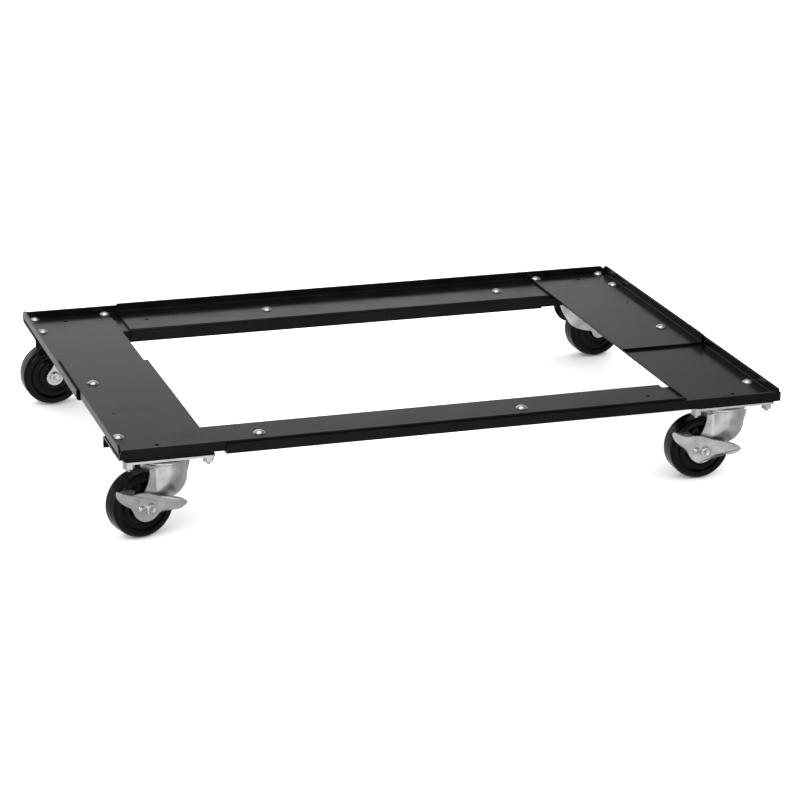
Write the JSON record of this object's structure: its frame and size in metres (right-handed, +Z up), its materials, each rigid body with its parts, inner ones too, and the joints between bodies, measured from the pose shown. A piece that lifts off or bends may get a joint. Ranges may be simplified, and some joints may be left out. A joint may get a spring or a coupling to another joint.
{
  "type": "adjustable cabinet dolly",
  "caption": "Low telescoping steel tray frame on swivel casters, the front ones with side brake levers, for rolling a cabinet or locker about.",
  "frame": {"origin": "on the floor, under the centre of the tray frame at its rest setting", "axes": "+X along the long side to the right as seen from the braked side, +Y towards the side without brakes, +Z up"},
  "size_m": [0.954, 0.6452, 0.1333],
  "materials": {
    "powder_coat": "semi-gloss black powder coat",
    "zinc_plate": "bright zinc-plated pressed steel, satin",
    "bright_zinc": "bright zinc-plated fasteners",
    "ball_steel": "plain bearing steel",
    "wheel_black": "glossy moulded black wheel",
    "brake_rubber": "matt black rubber"
  },
  "bodies": {
    "corner_front_left": {"front_left_rail": "powder_coat", "front_left_plate": "powder_coat", "front_left_caster_bolts": "bright_zinc", "front_left_caster_nuts": "bright_zinc", "front_left_caster_top_plate": "zinc_plate", "front_left_kingpin": "bright_zinc", "front_left_shim": "powder_coat", "front_left_clamp_screws": "bright_zinc", "front_left_clamp_nuts": "bright_zinc"},
    "corner_front_right": {"front_right_rail": "powder_coat", "front_right_plate": "powder_coat", "front_right_caster_bolts": "bright_zinc", "front_right_caster_nuts": "bright_zinc", "front_right_caster_top_plate": "zinc_plate", "front_right_kingpin": "bright_zinc"},
    "corner_rear_left": {"rear_left_rail": "powder_coat", "rear_left_plate": "powder_coat", "rear_left_caster_bolts": "bright_zinc", "rear_left_caster_nuts": "bright_zinc", "rear_left_caster_top_plate": "zinc_plate", "rear_left_kingpin": "bright_zinc"},
    "corner_rear_right": {"rear_right_rail": "powder_coat", "rear_right_plate": "powder_coat", "rear_right_caster_bolts": "bright_zinc", "rear_right_caster_nuts": "bright_zinc", "rear_right_caster_top_plate": "zinc_plate", "rear_right_kingpin": "bright_zinc", "rear_right_shim": "powder_coat", "rear_right_clamp_screws": "bright_zinc", "rear_right_clamp_nuts": "bright_zinc"},
    "swivel_front_left": {"front_left_fork": "zinc_plate", "front_left_axle_bolt": "bright_zinc", "front_left_axle_nut": "bright_zinc", "front_left_wheel_bushing": "ball_steel", "front_left_swivel_balls": "ball_steel", "front_left_brake_rivet": "bright_zinc"},
    "swivel_front_right": {"front_right_fork": "zinc_plate", "front_right_axle_bolt": "bright_zinc", "front_right_axle_nut": "bright_zinc", "front_right_wheel_bushing": "ball_steel", "front_right_swivel_balls": "ball_steel", "front_right_brake_rivet": "bright_zinc"},
    "swivel_rear_left": {"rear_left_fork": "zinc_plate", "rear_left_axle_bolt": "bright_zinc", "rear_left_axle_nut": "bright_zinc", "rear_left_wheel_bushing": "ball_steel", "rear_left_swivel_balls": "ball_steel"},
    "swivel_rear_right": {"rear_right_fork": "zinc_plate", "rear_right_axle_bolt": "bright_zinc", "rear_right_axle_nut": "bright_zinc", "rear_right_wheel_bushing": "ball_steel", "rear_right_swivel_balls": "ball_steel"},
    "wheel_front_left": {"front_left_wheel": "wheel_black"},
    "wheel_front_right": {"front_right_wheel": "wheel_black"},
    "wheel_rear_left": {"rear_left_wheel": "wheel_black"},
    "wheel_rear_right": {"rear_right_wheel": "wheel_black"},
    "brake_front_left": {"front_left_brake_lever": "zinc_plate", "front_left_brake_pad": "brake_rubber"},
    "brake_front_right": {"front_right_brake_lever": "zinc_plate", "front_right_brake_pad": "brake_rubber"}
  },
  "joints": [
    {"name": "width_front", "type": "slide", "parent": "corner_front_left", "child": "corner_front_right", "axis": [1, 0, 0], "range_m": [-0.012, 0.3]},
    {"name": "depth_left", "type": "slide", "parent": "corner_front_left", "child": "corner_rear_left", "axis": [0, 1, 0], "range_m": [-0.06, 0.03]},
    {"name": "width_rear", "type": "slide", "parent": "corner_rear_left", "child": "corner_rear_right", "axis": [1, 0, 0], "range_m": [-0.012, 0.3]},
    {"name": "swivel_front_left_turn", "type": "hinge", "parent": "corner_front_left", "child": "swivel_front_left", "pos_m": [-0.39445, -0.2716, 0.1065], "axis": [0, 0, 1], "continuous": true},
    {"name": "wheel_front_left_roll", "type": "hinge", "parent": "swivel_front_left", "child": "wheel_front_left", "pos_m": [-0.42888, -0.28213, 0.04445], "axis": [0.2924, -0.9563, 0], "continuous": true},
    {"name": "brake_front_left_rock", "type": "hinge", "parent": "swivel_front_left", "child": "brake_front_left", "pos_m": [-0.44227, -0.28622, 0.04745], "axis": [0.2924, -0.9563, 0], "range_deg": [0, 12]},
    {"name": "swivel_front_right_turn", "type": "hinge", "parent": "corner_front_right", "child": "swivel_front_right", "pos_m": [0.39775, -0.2749, 0.1065], "axis": [0, 0, 1], "continuous": true},
    {"name": "wheel_front_right_roll", "type": "hinge", "parent": "swivel_front_right", "child": "wheel_front_right", "pos_m": [0.36175, -0.27553, 0.04445], "axis": [0.0175, -0.9998, 0], "continuous": true},
    {"name": "brake_front_right_rock", "type": "hinge", "parent": "swivel_front_right", "child": "brake_front_right", "pos_m": [0.34776, -0.27577, 0.04745], "axis": [0.0175, -0.9998, 0], "range_deg": [0, 12]},
    {"name": "swivel_rear_left_turn", "type": "hinge", "parent": "corner_rear_left", "child": "swivel_rear_left", "pos_m": [-0.39775, 0.2749, 0.1065], "axis": [0, 0, 1], "continuous": true},
    {"name": "wheel_rear_left_roll", "type": "hinge", "parent": "swivel_rear_left", "child": "wheel_rear_left", "pos_m": [-0.43366, 0.27239, 0.04445], "axis": [0.0698, -0.9976, 0], "continuous": true},
    {"name": "swivel_rear_right_turn", "type": "hinge", "parent": "corner_rear_right", "child": "swivel_rear_right", "pos_m": [0.39445, 0.2716, 0.1065], "axis": [0, 0, 1], "continuous": true},
    {"name": "wheel_rear_right_roll", "type": "hinge", "parent": "swivel_rear_right", "child": "wheel_rear_right", "pos_m": [0.43031, 0.27474, 0.04445], "axis": [-0.0872, 0.9962, 0], "continuous": true}
  ],
  "couplings": [
    {"joint": "width_rear", "follows": "width_front", "ratio": 1}
  ]
}
